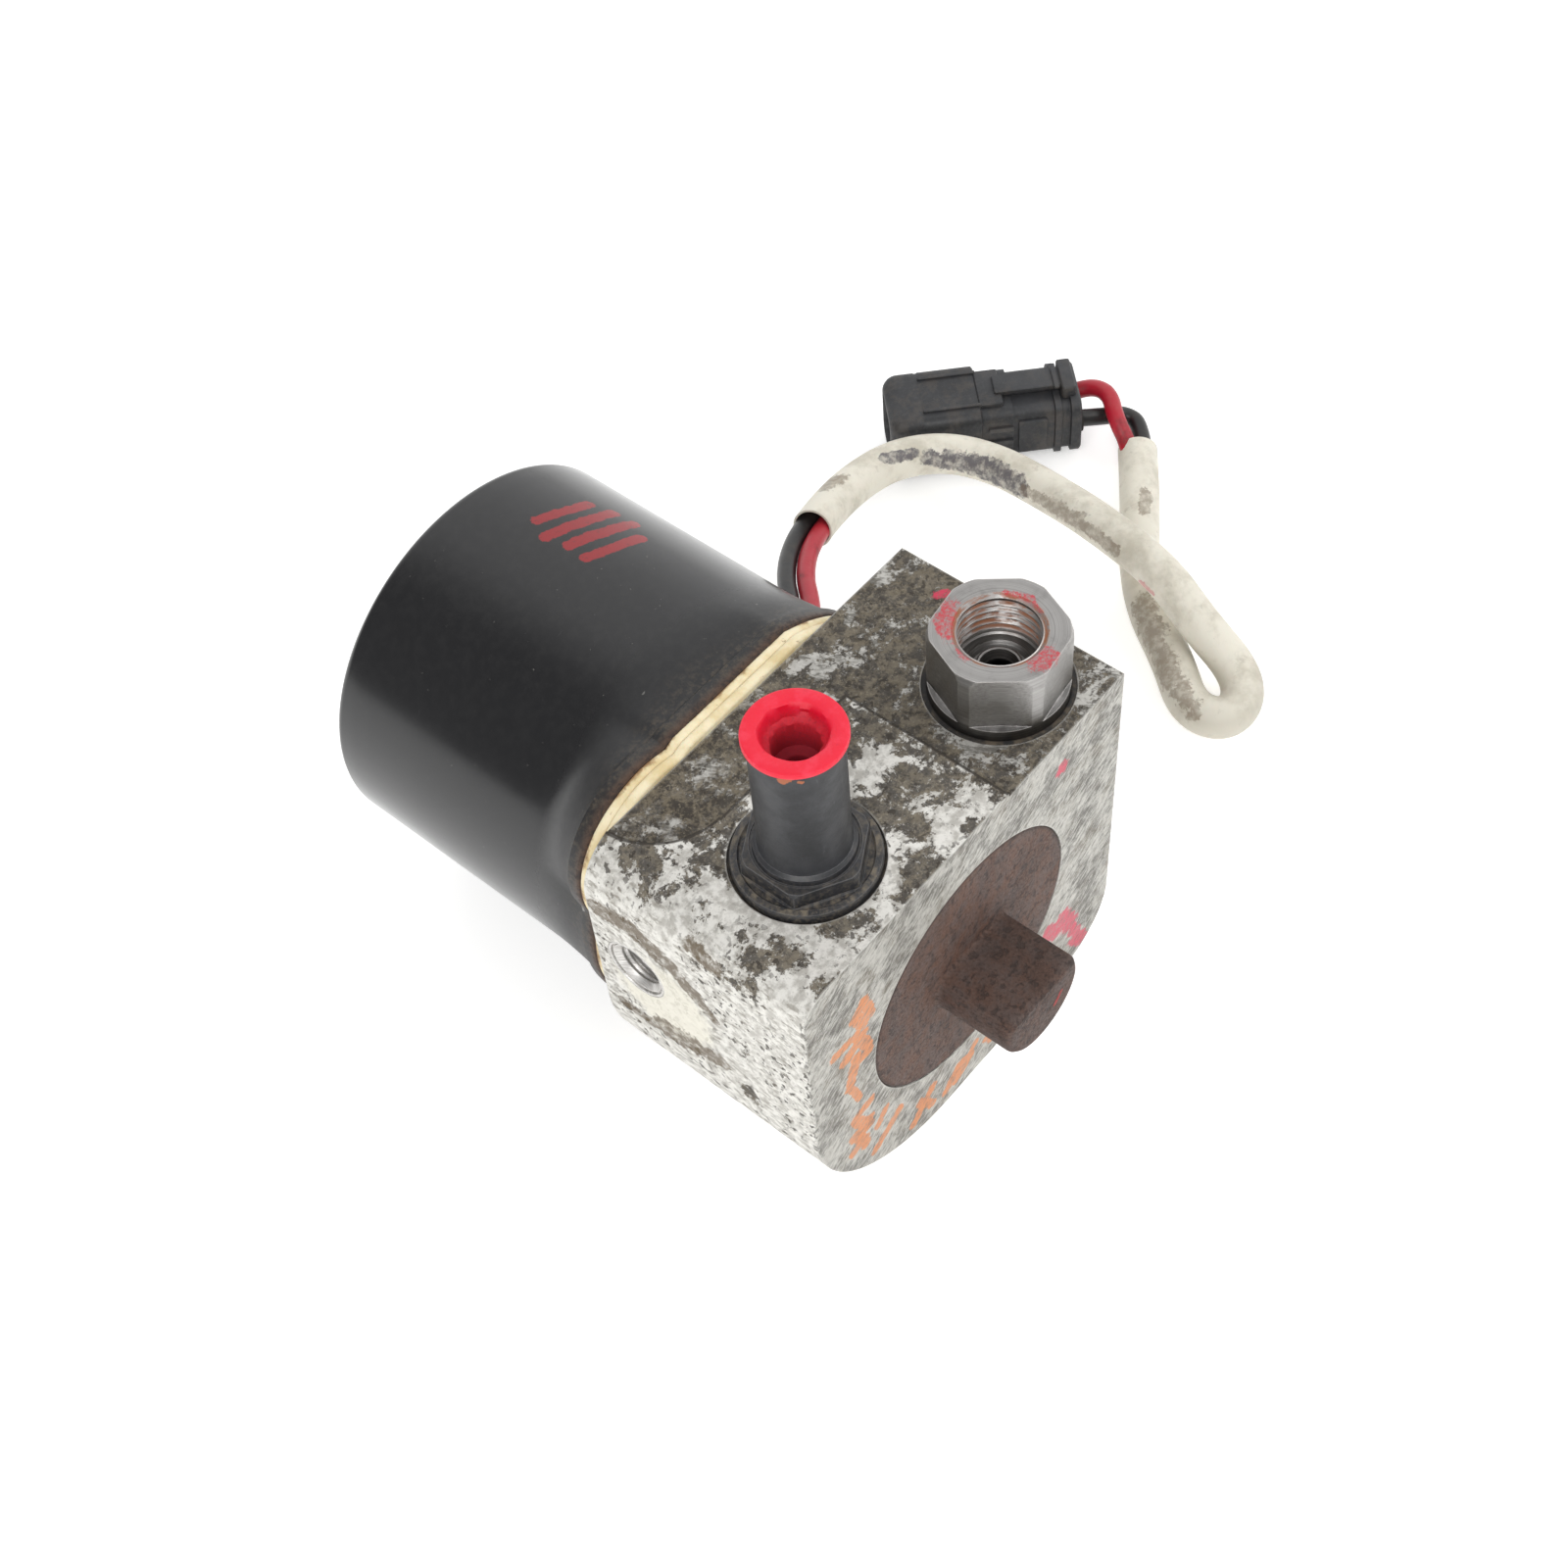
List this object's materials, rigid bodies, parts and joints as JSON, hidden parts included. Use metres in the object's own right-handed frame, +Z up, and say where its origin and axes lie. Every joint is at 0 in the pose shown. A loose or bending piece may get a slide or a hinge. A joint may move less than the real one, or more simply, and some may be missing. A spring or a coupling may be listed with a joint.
{
  "type": "motorised valve actuator head",
  "caption": "Motorised actuator head: a round motor behind a ported metal block, with a quarter-turn drive stub, a threaded adaptor, a capped hose stub and sleeved leads to a plug.",
  "frame": {"origin": "on the output spindle's axis, in the port block's front face", "axes": "+Y from the front face back along the motor, +Z up through the two ports, +X to the right seen from the front"},
  "size_m": [0.1987, 0.1345, 0.1104],
  "materials": {
    "cast_alloy": "cast and machined, stained and speckled with corrosion",
    "steel": "machined",
    "bright_steel": "turned, bright",
    "rusty_steel": "even brown rust",
    "bronze": "turned",
    "brass": "stamped",
    "copper": "turned",
    "copper_wire": "enamelled",
    "lamination": "stacked sheet",
    "ferrite": "ground ferrite",
    "carbon": "pressed carbon",
    "black_paint": "smooth gloss, lightly scuffed",
    "cream_rubber": "aged cream, browned at the edge",
    "black_rubber": "matte",
    "black_plastic": "moulded, dusty",
    "red_plastic": "soft moulded",
    "red_lead": "extruded insulation",
    "black_lead": "extruded insulation",
    "cream_sleeve": "extruded, scuffed"
  },
  "bodies": {
    "housing": {"valve_block": "cast_alloy", "spindle_bush": "bronze", "face_oring": "black_rubber", "gland_plate": "steel", "shaft_seal": "black_rubber", "stop_pin": "steel", "cross_port_plug": "steel", "insert_left": "bright_steel", "insert_right": "bright_steel", "port_adaptor": "bright_steel", "adaptor_oring": "black_rubber", "hose_stub": "black_plastic", "hose_stub_oring": "black_rubber", "transit_cap": "red_plastic", "gasket_block_side": "cream_rubber", "gasket_motor_side": "cream_rubber", "end_plate": "steel", "plate_screws": "steel", "ring_gear": "steel", "motor_can": "black_paint", "field_magnets": "ferrite", "magnet_clips": "steel", "bearing_bracket": "steel", "front_bearing_outer": "bright_steel", "rear_bearing_cup": "steel", "rear_bush": "bronze", "brush_card": "black_plastic", "brush_holders": "brass", "carbon_brushes": "carbon", "brush_springs": "bright_steel", "lead_grommet": "black_rubber", "lead_red": "red_lead", "lead_black": "black_lead", "lead_sleeve": "cream_sleeve", "plug_shell": "black_plastic", "plug_rear_body": "black_plastic", "plug_latch": "black_plastic", "plug_wire_seals": "black_rubber", "plug_terminals": "brass"},
    "spindle": {"output_spindle": "rusty_steel", "valve_drum": "bronze", "drum_pins": "steel", "output_carrier": "steel", "output_planet_pins": "bright_steel"},
    "output_planet_one": {"output_planet_a": "steel"},
    "output_planet_two": {"output_planet_b": "steel"},
    "output_planet_three": {"output_planet_c": "steel"},
    "first_stage": {"first_carrier": "steel", "second_sun": "steel", "first_planet_pins": "bright_steel"},
    "first_planet_one": {"first_planet_a": "steel"},
    "first_planet_two": {"first_planet_b": "steel"},
    "first_planet_three": {"first_planet_c": "steel"},
    "armature": {"motor_shaft": "bright_steel", "front_bearing_inner": "bright_steel", "armature_core": "lamination", "armature_windings": "copper_wire", "commutator": "copper", "motor_pinion": "steel"}
  },
  "joints": [
    {"name": "armature_spin", "type": "hinge", "parent": "housing", "child": "armature", "pos_m": [0, 0.09, 0], "axis": [0, 1, 0], "range_deg": [0, 1440]},
    {"name": "first_stage_turn", "type": "hinge", "parent": "housing", "child": "first_stage", "pos_m": [0, 0.05, 0], "axis": [0, 1, 0], "range_deg": [-2, 362]},
    {"name": "spindle_turn", "type": "hinge", "parent": "housing", "child": "spindle", "pos_m": [0, 0, 0], "axis": [0, 1, 0], "range_deg": [-0.5, 90.5]},
    {"name": "first_planet_one_spin", "type": "hinge", "parent": "first_stage", "child": "first_planet_one", "pos_m": [0, 0.0567, -0.0144], "axis": [0, 1, 0], "range_deg": [-1085, 5]},
    {"name": "output_planet_one_spin", "type": "hinge", "parent": "spindle", "child": "output_planet_one", "pos_m": [0, 0.0473, -0.0144], "axis": [0, 1, 0], "range_deg": [-275, 5]},
    {"name": "first_planet_two_spin", "type": "hinge", "parent": "first_stage", "child": "first_planet_two", "pos_m": [-0.01247, 0.0567, 0.0072], "axis": [0, 1, 0], "range_deg": [-1085, 5]},
    {"name": "output_planet_two_spin", "type": "hinge", "parent": "spindle", "child": "output_planet_two", "pos_m": [-0.01247, 0.0473, 0.0072], "axis": [0, 1, 0], "range_deg": [-275, 5]},
    {"name": "first_planet_three_spin", "type": "hinge", "parent": "first_stage", "child": "first_planet_three", "pos_m": [0.01247, 0.0567, 0.0072], "axis": [0, 1, 0], "range_deg": [-1085, 5]},
    {"name": "output_planet_three_spin", "type": "hinge", "parent": "spindle", "child": "output_planet_three", "pos_m": [0.01247, 0.0473, 0.0072], "axis": [0, 1, 0], "range_deg": [-275, 5]}
  ],
  "couplings": [
    {"joint": "first_stage_turn", "follows": "armature_spin", "ratio": 0.25},
    {"joint": "spindle_turn", "follows": "armature_spin", "ratio": 0.0625},
    {"joint": "first_planet_one_spin", "follows": "armature_spin", "ratio": -0.75},
    {"joint": "output_planet_one_spin", "follows": "armature_spin", "ratio": -0.1875},
    {"joint": "first_planet_two_spin", "follows": "armature_spin", "ratio": -0.75},
    {"joint": "output_planet_two_spin", "follows": "armature_spin", "ratio": -0.1875},
    {"joint": "first_planet_three_spin", "follows": "armature_spin", "ratio": -0.75},
    {"joint": "output_planet_three_spin", "follows": "armature_spin", "ratio": -0.1875}
  ]
}
